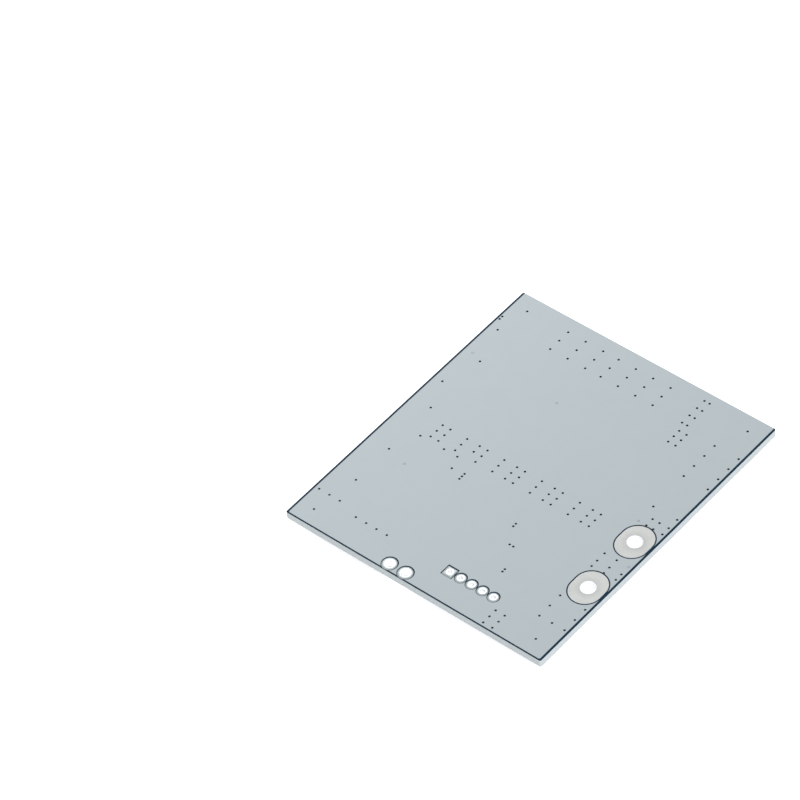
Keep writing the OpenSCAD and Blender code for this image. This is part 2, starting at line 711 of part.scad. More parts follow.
// The other signals
module signal_tracks(gap) {
    bend = 0.9;
    lines = concat(
        // Between neighbouring chip parts
        [for (row = [cell_capacitors, pull_resistors], i = [0:1])
            [chip_land(row[i], 1), chip_land(row[i + 1], -1)]],
        [[chip_land(supply_capacitors[0], 1), chip_land(supply_capacitors[1], -1)]],
        [[flat(clock_capacitor) + [0, chip_l / 2], [clock_capacitor.x, pull_resistors[0].y]]],
        // Monitor chip
        [dogleg(pin_places[0], chip_land(supply_capacitors[1], 1))],
        [dogleg(chip_land(supply_capacitors[0], -1), monitor_land(-1, 0))],
        [dogleg(monitor_land(1, 3), flat(monitor_right_vias[2]))],
        [dogleg(monitor_land(1, 9), flat(monitor_right_vias[1]))],
        [[monitor_land(1, 8), [monitor_right_vias[0].x, monitor_land(1, 8).y]]],
        [let (start = monitor_land(1, 4), via = flat(monitor_right_vias[3]))
            [start, [via.x - start.y + via.y, start.y], via]],
        [let (start = monitor_land(1, 6), end = flat(clock_capacitor) - [0, chip_l / 2])
            [start, [end.x - bend, start.y], [end.x, start.y + bend], end]],
        // Drivers and the output diode
        [[driver_land(0, -1, 1), driver_land(1, -1, -1)]],
        [dogleg(driver_land(0, -1, -1), flat(driver_vias[1]))],
        [dogleg(driver_land(1, -1, 1), chip_land(pull_resistors[1], -1))],
        [dogleg(driver_land(0, 1, 0), diode_land(output_diode_place, 1))],
        [let (start = driver_land(1, 1, 0), end = chip_land(pull_resistors[2], 1))
            [start, [end.x - bend, start.y], [end.x, start.y + bend], end]],
        // From via to via
        [dogleg(flat(source_line_vias[0]), flat(balance_via))],
        [dogleg(flat(source_line_vias[1]), flat(monitor_left_vias[0]))],
        [dogleg(flat(source_line_vias[2]), flat(monitor_left_vias[3]))],
        [[chip_land(cell_capacitors[0], -1), [monitor_left_vias[3].x, cell_capacitors[0].y]]],
        [dogleg(flat(balance_via), chip_land(channel_capacitors[0], -1))],
        [for (i = [0:3]) dogleg(flat(left_vias[i]), flat(left_vias[i + 1]))]
    );
    for (line = lines) track(line, track_w, gap);
}

// Supply from the wire holes, past the diode
module supply_tracks(gap) {
    end = flat(bleed_vias[2]);
    bend = end - [0, 1.5];
    track([wire_places[0], [bend.x + bend.y - wire_y, wire_y], bend, end], bleed_track_w, gap);
    track([diode_land(input_diode_place, 1), flat(diode_vias[1])], bleed_track_w, gap);
    track([flat(diode_vias[0]) - [0, 1], diode_land(input_diode_place, -1)], bleed_track_w, gap);
}

// All copper of the component side, grown by a gap
module copper_pattern(gap = 0) {
    power_areas(gap);
    gate_tracks(gap);
    balance_tracks(gap);
    filter_tracks(gap);
    signal_tracks(gap);
    supply_tracks(gap);
    at_places(vias) circle(via_ring_d / 2 + gap);
}

// ---------- lands and solder ----------

module fet_lands(gap) {
    length = fet_reach + 2.15;
    translate([0, fet_reach - length / 2])
        square([fet_tab_w + 1.1 + 2 * gap, length + 2 * gap], center = true);
    for (side = [-1, 1])
        translate([side * fet_lead_x, -fet_l / 2 - fet_lead_out + 0.7])
            square([fet_lead_w + 0.7 + 2 * gap, 2.3 + 2 * gap], center = true);
}

module gull_lands(w, rows, pitch, count, lead, gap) {
    for (side = [-1, 1], i = rows)
        translate([side * (w / 2 + lead[2] - 0.15), (i - (count - 1) / 2) * pitch])
            square([0.9 + 2 * gap, lead[0] + 0.12 + 2 * gap], center = true);
}

// Three-lead parts have two leads on one side and one on the other
driver_leads_at = [[-1, -1], [-1, 1], [1, 0]];

// Every land of the component side, each grown by a gap
module front_lands(gap = 0) {
    for (x = discharge_xs) flat_on_front([x, discharge_y], 180) fet_lands(gap);
    for (x = charge_xs) flat_on_front([x, charge_y]) fet_lands(gap);
    for (p = sense_places) flat_on_front(p, 90)
        end_lands(sense_l + 2 * gap, sense_w + 2 * gap, sense_band + 0.3 + 2 * gap, sense_past);
    flat_on_front(monitor_place)
        gull_lands(monitor_w, [0:monitor_side - 1], monitor_pitch, monitor_side, monitor_lead, gap);
    for (p = channel_places) flat_on_front(p, 90)
        gull_lands(small_w, [0:2], small_pitch, 3, small_lead, gap);
    for (p = driver_places) flat_on_front(p) for (at = driver_leads_at)
        translate([at.x * (small_w / 2 + small_lead[2] - 0.15), at.y * small_pitch])
            square([0.9 + 2 * gap, small_lead[0] + 0.3 + 2 * gap], center = true);
    for (p = [input_diode_place, output_diode_place]) flat_on_front(p, 90)
        end_lands(diode_l + 2 * gap, diode_lead_w + 0.3 + 2 * gap, 1.2 + 2 * gap, 0.9);
    for (p = bleed_places) flat_on_front(p, 90)
        end_lands(bleed_l + 2 * gap, bleed_w + 2 * gap, bleed_band + 0.2 + 2 * gap, 0.4);
    for (p = concat(resistor_places, capacitor_places)) flat_on_front(p, p.z)
        end_lands(chip_l + 2 * gap, chip_w + 0.1 + 2 * gap, band + 0.1 + 2 * gap, 0.4);
}
module flat_on_front(place, turn = 0) {
    translate([place.x - board_w / 2, place.y - board_l / 2])
        rotate([180, 0, turn]) children();
}

module component_lands() {
    color("gainsboro") translate([0, 0, front_z - land_t]) linear_extrude(land_t) front_lands();
}

module fet_solder() {
    translate([0, fet_l / 2 + fet_tab_out, land_t]) fillet(fet_tab_w - 0.6, 0.35, 0.35);
    for (side = [-1, 1]) translate([side * fet_lead_x, 0]) {
        translate([0, -fet_l / 2 - fet_lead_out, land_t])
            rotate([0, 0, 180]) fillet(fet_lead_w, 0.4, 0.35);
        for (turn = [-90, 90]) rotate([0, 0, turn])
            translate([side_of_lead(turn), fet_lead_w / 2, land_t]) fillet(fet_foot, 0.3, 0.3);
    }
}
// Where a foot's middle lies along its own side, seen from that side
function side_of_lead(turn) = -turn / 90 * (fet_l / 2 + fet_lead_out - fet_foot / 2);

module solder_joints() {
    color("silver") {
        for (x = discharge_xs) on_front([x, discharge_y], 180) fet_solder();
        for (x = charge_xs) on_front([x, charge_y]) fet_solder();
        for (p = sense_places) on_front(p, 90) end_fillets(sense_l, sense_w - 0.1, 0.45, 0.55);
        for (p = [input_diode_place, output_diode_place]) on_front(p, 90)
            end_fillets(diode_l + 2 * diode_lead_out, diode_lead_w, 0.45, 0.6);
        for (p = bleed_places) on_front(p, 90) end_fillets(bleed_l, bleed_w - 0.1, 0.32, 0.42);
        for (p = resistor_places) on_front(p, p.z) end_fillets(chip_l, chip_w, 0.3, 0.3);
        for (p = capacitor_places) on_front(p, p.z) end_fillets(chip_l, chip_w, 0.32, 0.5);
        on_front(monitor_place) for (turn = [-90, 90], i = [0:monitor_side - 1])
            rotate([0, 0, turn])
                translate([(i - (monitor_side - 1) / 2) * monitor_pitch,
                    monitor_w / 2 + monitor_lead[2], land_t])
                    fillet(monitor_lead[0], 0.25, monitor_lead[1]);
    }
}

// ---------- power transistors ----------

// Metal of a transistor: the drain tab with its cut middle lead, and two outer leads
module fet_metal() {
    tab_start = -fet_l / 2 + 1;
    tab_end = fet_l / 2 + fet_tab_out;
    riser = tab_start + 0.1;            // where the middle lead turns down to the tab
    translate([0, 0, land_t]) {
        linear_extrude(fet_metal_t) difference() {
            translate([-fet_tab_w / 2, tab_start]) square([fet_tab_w, tab_end - tab_start]);
            for (side = [-1, 1]) {
                translate([side * fet_tab_w / 2, fet_l / 2 + 0.25])
                    square([0.5, 0.36], center = true);
                translate([side * fet_tab_w / 2, tab_end]) rotate(45)
                    square(0.5, center = true);
            }
        }
        for (side = [-1, 1]) translate([side * fet_lead_x, -fet_l / 2]) rotate([0, 0, 180])
            bent_lead(fet_lead_w, fet_metal_t, fet_lead_z, fet_bend,
                fet_lead_out - fet_foot - fet_metal_t - 2 * fet_bend, fet_lead_out);
        across(fet_lead_w) polygon([
            [-fet_l / 2 - fet_stub, fet_lead_z], [riser, fet_lead_z], [riser, fet_metal_t / 4],
            [riser + fet_metal_t, fet_metal_t / 4], [riser + fet_metal_t, fet_lead_z + fet_metal_t],
            [-fet_l / 2 - fet_stub, fet_lead_z + fet_metal_t]
        ]);
    }
}

module fet_mould() {
    difference() {
        translate([0, 0, land_t]) moulding(fet_w, fet_l, 0, fet_body_z, fet_h);
        fet_metal();
        translate([0, fet_l / 4, land_t + fet_h - 0.08]) cylinder(h = cut, d = 1.4);
    }
}

module discharge_fet_body(i) color("dimgray") on_front([discharge_xs[i], discharge_y], 180) fet_mould();
module discharge_fet_frame(i) color("silver") on_front([discharge_xs[i], discharge_y], 180) fet_metal();
module charge_fet_body(i) color("dimgray") on_front([charge_xs[i], charge_y]) fet_mould();
module charge_fet_frame(i) color("silver") on_front([charge_xs[i], charge_y]) fet_metal();

// ---------- chip parts ----------

// Body of a chip part inside its plated ends; its length lies along X
module chip_core(l, w, h) {
    translate([-l / 2 + end_t, -w / 2, land_t + end_t]) cube([l - 2 * end_t, w, h - 2 * end_t]);
}

// Plated ends that wrap round the body
module chip_end_caps(l, w, h, length) {
    for (side = [-1, 1]) difference() {
        translate([side * (l - length) / 2, 0, land_t + h / 2])
            cube([length, w, h], center = true);
        chip_core(l, w + cut, h);
    }
}

// Glaze that covers the top of a resistor between its ends
module glaze(l, w, h, length) {
    translate([0, 0, land_t + h - end_t * 0.6])
        cube([l - 2 * length, w - 0.04, end_t * 0.8], center = true);
}

module sense_resistor_bodies() {
    color("darkslategray") for (p = sense_places) on_front(p, 90)
        chip_core(sense_l, sense_w, sense_h);
}

module sense_resistor_ends() {
    color("silver") for (p = sense_places) on_front(p, 90)
        chip_end_caps(sense_l, sense_w, sense_h, sense_band);
}

module bleed_resistor_bodies() {
    color("whitesmoke") for (p = bleed_places) on_front(p, 90) chip_core(bleed_l, bleed_w, bleed_h);
}

module chip_resistor_bodies() {
    color("whitesmoke") for (p = resistor_places) on_front(p, p.z)
        chip_core(chip_l, chip_w, resistor_h);
}

module resistor_glazes() {
    color("black") {
        for (p = bleed_places) on_front(p, 90) glaze(bleed_l, bleed_w, bleed_h, bleed_band);
        for (p = resistor_places) on_front(p, p.z) glaze(chip_l, chip_w, resistor_h, band);
    }
}

module chip_capacitor_bodies() {
    color("tan") for (p = capacitor_places) on_front(p, p.z) chip_core(chip_l, chip_w, capacitor_h);
}

module chip_ends() {
    color("silver") {
        for (p = bleed_places) on_front(p, 90) chip_end_caps(bleed_l, bleed_w, bleed_h, bleed_band);
        for (p = resistor_places) on_front(p, p.z) chip_end_caps(chip_l, chip_w, resistor_h, band);
        for (p = capacitor_places) on_front(p, p.z) chip_end_caps(chip_l, chip_w, capacitor_h, band);
    }
}

// ---------- moulded chips ----------

// Leads along both long sides of a chip; count of them on each side
module gull_leads(w, z, pitch, count, lead) {
    for (turn = [-90, 90], i = [0:count - 1]) rotate([0, 0, turn])
        translate([(i - (count - 1) / 2) * pitch, w / 2, land_t])
            bent_lead(lead[0], lead[1], z, lead[3], lead[2] * 0.15, lead[2]);
}

module monitor_leads() {
    gull_leads(monitor_w, monitor_h * 0.45, monitor_pitch, monitor_side, monitor_lead);
}

module monitor_chip_body() {
    color("dimgray") on_front(monitor_place) difference() {
        translate([0, 0, land_t])
            moulding(monitor_w, monitor_l, stand_off, monitor_h * 0.5, monitor_h);
        monitor_leads();
        translate([-monitor_w / 2 + 0.8, monitor_l / 2 - 0.8, land_t + monitor_h - 0.06])
            cylinder(h = cut, d = 0.7);
    }
}

module monitor_chip_leads() {
    color("silver") on_front(monitor_place) monitor_leads();
}

module small_mould() {
    translate([0, 0, land_t]) moulding(small_w, small_l, stand_off, small_h * 0.5, small_h);
}

module balance_chip_bodies() {
    color("dimgray") for (p = channel_places) on_front(p, 90) difference() {
        small_mould();
        gull_leads(small_w, small_h * 0.45, small_pitch, 3, small_lead);
    }
}

module balance_chip_leads() {
    color("silver") for (p = channel_places) on_front(p, 90)
        gull_leads(small_w, small_h * 0.45, small_pitch, 3, small_lead);
}

module three_leads() {
    for (at = driver_leads_at) rotate([0, 0, -90 * at.x])
        translate([-at.x * at.y * small_pitch, small_w / 2, land_t])
            bent_lead(small_lead[0], small_lead[1], small_h * 0.45, small_lead[3],
                small_lead[2] * 0.15, small_lead[2]);
}

module driver_bodies() {
    color("dimgray") for (p = driver_places) on_front(p) difference() {
        small_mould();
        three_leads();
    }
}

module driver_leads() {
    color("silver") for (p = driver_places) on_front(p) three_leads();
}

// A diode's leads leave its ends, turn down and fold back under the moulding
diode_lead_t = 0.2;
diode_lead_out = 0.45;
diode_lead_z = 1.05;

module diode_metal() {
    t = diode_lead_t;
    r = diode_lead_out - t;
    for (turn = [-90, 90]) rotate([0, 0, turn]) translate([0, diode_l / 2, land_t])
        across(diode_lead_w) polygon(concat(
            [[-lead_root, diode_lead_z + t]],
            arc(0, diode_lead_z - r, r + t, 90, 0), arc(0, r + t, r + t, 0, -90),
            [[-0.9, 0], [-0.9, t]],
            arc(0, r + t, r, -90, 0), arc(0, diode_lead_z - r, r, 0, 90),
            [[-lead_root, diode_lead_z]]
        ));
}

module diode_mould() {
    difference() {
        translate([0, 0, land_t])
            rotate([0, 0, 90]) moulding(diode_w, diode_l, diode_lead_t, fet_h * 0.5, fet_h);
        diode_metal();
    }
}

module input_diode_body() color("dimgray") on_front(input_diode_place, 90) diode_mould();
module output_diode_body() color("dimgray") on_front(output_diode_place, 90) diode_mould();
module diode_leads() {
    color("silver") for (p = [input_diode_place, output_diode_place]) on_front(p, 90) diode_metal();
}

// ---------- what is drawn ----------

laminate();
back_mask();
back_coat();
front_copper();
front_mask();
via_barrels();
lug_terminal(0);  // lug_terminal_negative
lug_terminal(1);  // lug_terminal_output
for (i = [1:pin_count])
    balance_terminal(i - 1);
cable_terminal(0);  // cable_terminal_1
cable_terminal(1);  // cable_terminal_2
component_lands();
solder_bar(negative_bar);  // solder_bar_negative
solder_bar(output_bar);  // solder_bar_output
solder_joints();
for (i = [1:discharge_count]) {
    discharge_fet_body(i - 1);
    discharge_fet_frame(i - 1);
}
for (i = [1:charge_count]) {
    charge_fet_body(i - 1);
    charge_fet_frame(i - 1);
}
sense_resistor_bodies();
sense_resistor_ends();
monitor_chip_body();
monitor_chip_leads();
balance_chip_bodies();
balance_chip_leads();
driver_bodies();
driver_leads();
input_diode_body();
output_diode_body();
diode_leads();
bleed_resistor_bodies();
chip_resistor_bodies();
resistor_glazes();
chip_capacitor_bodies();
chip_ends();
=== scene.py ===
import json
import math

import bmesh
import bpy
from mathutils import Matrix, Vector


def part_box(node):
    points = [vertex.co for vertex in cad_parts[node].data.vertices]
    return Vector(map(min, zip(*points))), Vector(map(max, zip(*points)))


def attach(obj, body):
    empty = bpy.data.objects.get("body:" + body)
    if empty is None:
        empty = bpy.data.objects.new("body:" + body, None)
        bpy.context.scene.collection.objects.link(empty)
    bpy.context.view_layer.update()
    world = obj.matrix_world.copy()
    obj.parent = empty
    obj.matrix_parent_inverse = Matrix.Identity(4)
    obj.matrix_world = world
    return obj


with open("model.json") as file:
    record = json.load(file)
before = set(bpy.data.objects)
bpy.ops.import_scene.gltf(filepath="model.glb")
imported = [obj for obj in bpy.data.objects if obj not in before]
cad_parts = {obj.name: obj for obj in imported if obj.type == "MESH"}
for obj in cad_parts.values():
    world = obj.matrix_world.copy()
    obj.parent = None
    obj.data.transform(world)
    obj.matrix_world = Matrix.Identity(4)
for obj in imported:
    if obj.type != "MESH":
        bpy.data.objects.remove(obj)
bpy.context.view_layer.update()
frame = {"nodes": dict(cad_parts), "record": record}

bl_info = {
    "name": "Battery protection board",
    "version": (1, 0, 0),
    "blender": (4, 5, 0),
    "location": "3D View > Sidebar > Board",
    "description": "Finishes a battery protection board, prints its legend and lights it",
    "category": "Object",
}

MM = 0.001
BOARD_LOW, BOARD_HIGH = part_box("laminate")
FRONT_MASK_LOW, FRONT_MASK_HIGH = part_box("front_mask")
PLATED_HOLES = sorted(name for name in frame["nodes"] if "_terminal_" in name)
MASK_FILM = 0.03 * MM  # thickness of the component side's mask on bare laminate
LEVEL_SLACK = 0.02 * MM  # how far past a level a face still counts as lying on it
BORE_SLACK = 0.01 * MM  # how far past a bore's radius a point still counts as on its wall
SMALL_PAD = 2 * MM  # a pad with less than this half width is a small one
SQUARE_CORNER = 1.3  # a pad whose corners lie more than this many half widths out is square
PAINTED_LIGHT_LIP_SPREAD = 0.04 * MM ** 2  # width of the painted light on the lip round a small hole, times the hole's radius
HAZE_FADE = 0.05 * MM  # over what length the thin tin round a small pad ends
ROUND_SEGMENTS = 24


# ---------- sizes and colours ----------

def colour_property(name, description, default):
    return bpy.props.FloatVectorProperty(
        name=name, description=description, default=default, size=3, min=0, max=1, subtype="COLOR"
    )


def factor_property(name, description, default):
    return bpy.props.FloatProperty(
        name=name, description=description, default=default, min=0, max=1, subtype="FACTOR"
    )


def length_property(name, description, default_mm):
    return bpy.props.FloatProperty(
        name=name, description=description, default=default_mm * MM, min=0, precision=5,
        subtype="DISTANCE", unit="LENGTH",
    )


def angle_property(name, description, degrees):
    return bpy.props.FloatProperty(
        name=name, description=description, default=math.radians(degrees), subtype="ANGLE", unit="ROTATION"
    )


def power_property(name, description, watts):
    return bpy.props.FloatProperty(name=name, description=description, default=watts, min=0, unit="POWER")


class BoardFinish(bpy.types.PropertyGroup):
    coat: colour_property("Coat", "Pale coat printed on the back", (0.464, 0.525, 0.552))
    coat_roughness: factor_property("Coat roughness", "Roughness of the pale coat", 0.42)
    coat_mottle: factor_property("Coat mottle", "How far the coat's tone wanders", 0.03)
    mask: colour_property("Back mask", "Solder mask that shows round the coat", (0.003, 0.028, 0.060))
    mask_copper: colour_property(
        "Mask over copper", "Solder mask where it lies on copper", (0.012, 0.062, 0.17)
    )
    mask_bare: colour_property(
        "Mask over laminate", "Solder mask where it lies on the laminate", (0.006, 0.026, 0.075)
    )
    copper: colour_property("Copper", "Copper foil in the mask openings", (0.60, 0.36, 0.24))
    laminate: colour_property("Laminate", "Routed edge of the glass-epoxy laminate", (0.62, 0.68, 0.70))
    ply: length_property("Ply", "Thickness of one glass ply", 0.19)
    haze: colour_property(
        "Haze", "Thin tin that runs out over the mask round a small pad", (0.42, 0.46, 0.47)
    )
    haze_width: length_property("Haze width", "How far that tin runs out from the pad", 0.17)
    haze_sag: length_property("Haze sag", "How far that tin has sagged towards the wire edge", 0.1)
    # Near black: the tarnish of the plating and painted shade inside the hole, in one tone.
    barrel: colour_property("Via barrel", "Tarnished plating inside a via", (0.012, 0.011, 0.014))
    lighter_barrel: colour_property(
        "Lighter barrel", "Plating of the vias at the wire edge", (0.17, 0.17, 0.18)
    )
    ink_depth: length_property("Ink depth", "How far the ink in a closed via lies below the coat", 0.008)
    plug_radius: length_property("Plug radius", "Radius of the ink that closes a via", 0.19)
    plug_root: length_property("Plug root", "How far that ink reaches down into the laminate", 0.1)


class TerminalFinish(bpy.types.PropertyGroup):
    tin: colour_property("Tin", "Levelled tin of the lug pads and lands", (0.46, 0.47, 0.462))
    small_tin: colour_property("Small pads", "Levelled tin of the small pads", (0.44, 0.48, 0.49))
    tin_roughness: factor_property("Tin roughness", "Roughness of the levelled tin", 0.42)
    tin_metal: factor_property("Tin metal", "How metallic the levelled tin looks", 0.85)
    # Near-white tone inside the plated holes and on the lips of small ones: tin with painted light on it.
    barrel_tin_and_painted_light: colour_property("Barrel tin", "Bright tin inside a plated hole", (0.95, 0.97, 0.98))
    hole_dulling: factor_property("Dulling", "How far the tin dulls round a lug hole", 0.2)
    dull_tin: colour_property("Dull tin", "Tone that the tin dulls towards", (0.2, 0.2, 0.2))
    solder: colour_property("Solder", "Solder of the bars and joints", (0.60, 0.60, 0.59))
    solder_roughness: factor_property("Solder roughness", "Roughness of the solder", 0.2)


class PackageFinish(bpy.types.PropertyGroup):
    epoxy: colour_property("Epoxy", "Moulded packages", (0.016, 0.016, 0.018))
    lead: colour_property("Leads", "Matt tin of the leads and tabs", (0.60, 0.60, 0.59))
    sense: colour_property("Sense resistor", "Coating of the sense resistors", (0.018, 0.026, 0.024))
    alumina: colour_property("Alumina", "Body of the chip resistors", (0.80, 0.79, 0.75))
    glaze: colour_property("Glaze", "Glaze of the chip resistors", (0.008, 0.008, 0.009))
    dielectric: colour_property("Dielectric", "Body of the chip capacitors", (0.36, 0.235, 0.14))


class LegendPrint(bpy.types.PropertyGroup):
    ink: colour_property("Ink", "White ink of the printed outlines", (0.80, 0.81, 0.80))
    line: length_property("Line", "Width of a printed line", 0.15)
    thickness: length_property("Thickness", "From the laminate's mask to the outer face of the ink", 0.06)
    clearance: length_property("Clearance", "Gap between an outline and a package's side", 0.25)


class StageSetup(bpy.types.PropertyGroup):
    aim: bpy.props.FloatVectorProperty(
        name="Aim", description="Point that the camera looks at", subtype="TRANSLATION", unit="LENGTH",
        default=(-30.995 * MM, -0.763 * MM, 3.97 * MM),
    )
    distance: length_property("Distance", "From the aim to the camera", 920.04)
    azimuth: angle_property("Azimuth", "Turn of the camera round the board", 44.759)
    elevation: angle_property("Elevation", "Height of the camera above the board", 46.753)
    roll: angle_property("Roll", "Turn of the camera about its own axis", -6.381)
    lens: bpy.props.FloatProperty(
        name="Lens", description="Focal length on a 36 mm sensor", default=222.12, subtype="DISTANCE_CAMERA"
    )
    floor_side: length_property("Floor", "Side of the floor", 3000)
    sky: bpy.props.FloatProperty(name="Sky", description="Level of the even light", default=0.5, min=0)
    lamp: power_property("Lamp", "Power of the lamp behind the left edge", 1.2)
    side_lamp: power_property("Side lamp", "Power of the lamp beside the lug edge", 11)
    low_lamp: power_property("Low lamp", "Power of the lamp for the component side", 18)


# ---------- node helpers ----------

class Finish:
    """A material with a Principled shader, and short ways to add nodes to it."""

    def __init__(self, name):
        self.material = bpy.data.materials.new(name)
        self.material.use_nodes = True
        self.tree = self.material.node_tree
        self.shader = self.tree.nodes["Principled BSDF"]
        self.place = self.tree.nodes.new("ShaderNodeTexCoord").outputs["Object"]

    def node(self, kind, inputs=None, **settings):
        return add_node(self.tree, kind, inputs, **settings)

    def group(self, tree, **inputs):
        made = self.node("ShaderNodeGroup", node_tree=tree)
        for name, value in inputs.items():
            plug(self.tree, made.inputs[name.replace("_", " ").capitalize()], value)
        if "Place" in made.inputs:
            self.tree.links.new(self.place, made.inputs["Place"])
        return made

    def mix(self, factor, first, second, blend="MIX"):
        made = self.node("ShaderNodeMix", data_type="RGBA", blend_type=blend)
        for index, value in ((0, factor), (6, first), (7, second)):
            plug(self.tree, made.inputs[index], value)
        return made.outputs[2]

    def math(self, operation, *values, clamp=False):
        return add_math(self.tree, operation, *values, clamp=clamp)

    def mottled(self, mottle, colour, low, high):
        """A colour that wanders with a mottle between two shades of itself."""
        return self.mix(mottle.outputs["Tone"], shade(colour, low), shade(colour, high))

    def fade(self, value, start, end):
        """1 up to the start, 0 past the end, and smooth between them."""
        made = self.node("ShaderNodeMapRange", {0: value, 1: start, 2: end, 3: 1.0, 4: 0.0})
        made.interpolation_type = "SMOOTHSTEP"
        return made.outputs[0]

    def set(self, **sockets):
        for name, value in sockets.items():
            plug(self.tree, self.shader.inputs[name.replace("_", " ").title().replace("Ior", "IOR")], value)
        return self

    def bump(self, height, strength, distance_mm):
        made = self.node("ShaderNodeBump", {"Strength": strength, "Distance": distance_mm * MM})
        self.tree.links.new(height, made.inputs["Height"])
        self.tree.links.new(made.outputs[0], self.shader.inputs["Normal"])
        return self

    def put_on(self, slot):
        """Gives this material to every CAD node whose record names the slot."""
        for part in frame["record"]["subparts"]:
            if part["material_slot"] == slot:
                self.put_on_node(part["node"])

    def put_on_node(self, name):
        mesh = frame["nodes"][name].data
        mesh.materials.clear()
        mesh.materials.append(self.material)


def plug(tree, socket, value):
    """Links an output to a socket, or writes a plain value on it."""
    if isinstance(value, bpy.types.NodeSocket):
        tree.links.new(value, socket)
    elif socket.type == "RGBA" and len(value) == 3:
        socket.default_value = (*value, 1)
    else:
        socket.default_value = value


def add_node(tree, kind, inputs=None, **settings):
    made = tree.nodes.new(kind)
    for name, value in settings.items():
        setattr(made, name, value)
    for name, value in (inputs or {}).items():
        plug(tree, made.inputs[name], value)
    return made


def add_math(tree, operation, *values, clamp=False):
    """The output of a math node that works on outputs and plain numbers."""
    inputs = dict(enumerate(values))
    return add_node(tree, "ShaderNodeMath", inputs, operation=operation, use_clamp=clamp).outputs[0]


def new_group(name, inputs, outputs):
    """A shader node group; inputs and outputs are {name: (socket type, default)}."""
    tree = bpy.data.node_groups.new(name, "ShaderNodeTree")
    for in_out, sockets in (("INPUT", inputs), ("OUTPUT", outputs)):
        for socket_name, (kind, default) in sockets.items():
            made = tree.interface.new_socket(socket_name, in_out=in_out, socket_type="NodeSocket" + kind)
            if default is not None:
                made.default_value = default
    return tree, tree.nodes.new("NodeGroupInput").outputs, tree.nodes.new("NodeGroupOutput").inputs


def mottle_group():
    """Tone that wanders slowly, with a finer grain in it: puts out a value round 0.5 and a height."""
    tree, given, made = new_group(
        "Mottle",
        {
            "Place": ("Vector", None), "Broad": ("Float", 300.0),
            "Fine": ("Float", 4000.0), "Share": ("Float", 0.4),
        },
        {"Tone": ("Float", None), "Height": ("Float", None)},
    )

    def noise(scale, detail):
        inputs = {"Vector": given["Place"], "Scale": given[scale], "Detail": detail}
        return add_node(tree, "ShaderNodeTexNoise", inputs).outputs[0]

    broad, fine = noise("Broad", 2.0), noise("Fine", 3.0)
    blend = add_node(tree, "ShaderNodeMix", {0: given["Share"], 2: broad, 3: fine})
    tree.links.new(blend.outputs[0], made["Tone"])
    tree.links.new(fine, made["Height"])
    return tree


def weave_group():
    """Glass cloth seen in the laminate: threads along X and Y, in plies along Z."""
    tree, given, made = new_group(
        "Glass cloth",
        {"Place": ("Vector", None), "Thread": ("Float", 0.0005), "Ply": ("Float", 0.0002)},
        {"Threads": ("Float", None), "Plies": ("Float", None)},
    )
    part = add_node(tree, "ShaderNodeSeparateXYZ", {0: given["Place"]})

    def wave(axis, pitch):
        """Rises and falls between 0 and 1, once in each pitch along an axis."""
        turns = add_math(tree, "DIVIDE", part.outputs[axis], given[pitch])
        swing = add_math(tree, "SINE", add_math(tree, "MULTIPLY", turns, math.tau))
        return add_math(tree, "MULTIPLY_ADD", swing, 0.5, 0.5)

    threads = add_math(tree, "MULTIPLY", wave(0, "Thread"), wave(1, "Thread"))
    tree.links.new(threads, made["Threads"])
    tree.links.new(wave(2, "Ply"), made["Plies"])
    return tree


def pad_group():
    """How far a point is from the middle of a pad, measured round and measured square."""
    tree, given, made = new_group(
        "Distance from a pad's middle",
        {"Place": ("Vector", None), "Centre": ("Vector", None)},
        {"Round": ("Float", None), "Square": ("Float", None)},
    )

    def vector(operation, *values):
        return add_node(tree, "ShaderNodeVectorMath", dict(enumerate(values)), operation=operation).outputs

    gap = vector("SUBTRACT", given["Place"], given["Centre"])[0]
    flat = vector("MULTIPLY", vector("ABSOLUTE", gap)[0], (1, 1, 0))[0]
    part = add_node(tree, "ShaderNodeSeparateXYZ", {0: flat}).outputs
    tree.links.new(vector("LENGTH", flat)["Value"], made["Round"])
    tree.links.new(add_math(tree, "MAXIMUM", part[0], part[1]), made["Square"])
    return tree


GROUPS = {}


def effect(make):
    """The node group that a function makes, made once."""
    if make not in GROUPS:
        GROUPS[make] = make()
    return GROUPS[make]


def shade(colour, factor):
    """A colour made lighter or darker, with no channel past 1."""
    return tuple(min(1, channel * factor) for channel in colour)


class Pad:
    """A plated hole's middle, its radius and the size and kind of its pad, read off the CAD node."""

    def __init__(self, name):
        low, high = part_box(name)
        self.centre = (low + high) / 2
        self.half_width = (high - low).x / 2
        corners = [(corner.co - self.centre).xy.length for corner in frame["nodes"][name].data.vertices]
        self.hole_radius = min(corners)
        self.metric = "Square" if max(corners) > SQUARE_CORNER * self.half_width else "Round"
        self.small = self.half_width < SMALL_PAD

    def distance(self, finish, metric=None):
        """How far a point is from the pad's middle, measured in the way that its outline needs."""
        return finish.group(effect(pad_group), centre=tuple(self.centre)).outputs[metric or self.metric]


# ---------- finishes ----------

def coat_finish(settings):
    """Satin coat: an even pale tone with a slow mottle and the orange peel of screen print."""
    finish = Finish("Pale printed coat")
    mottle = finish.group(effect(mottle_group), broad=260.0, fine=5200.0, share=0.35)
    finish.set(
        base_color=finish.mottled(mottle, settings.coat, 1 - settings.coat_mottle, 1 + settings.coat_mottle),
        roughness=finish.math("MULTIPLY_ADD", mottle.outputs["Height"], 0.1, settings.coat_roughness - 0.05),
    )
    return finish.bump(mottle.outputs["Height"], 0.18, 0.01)


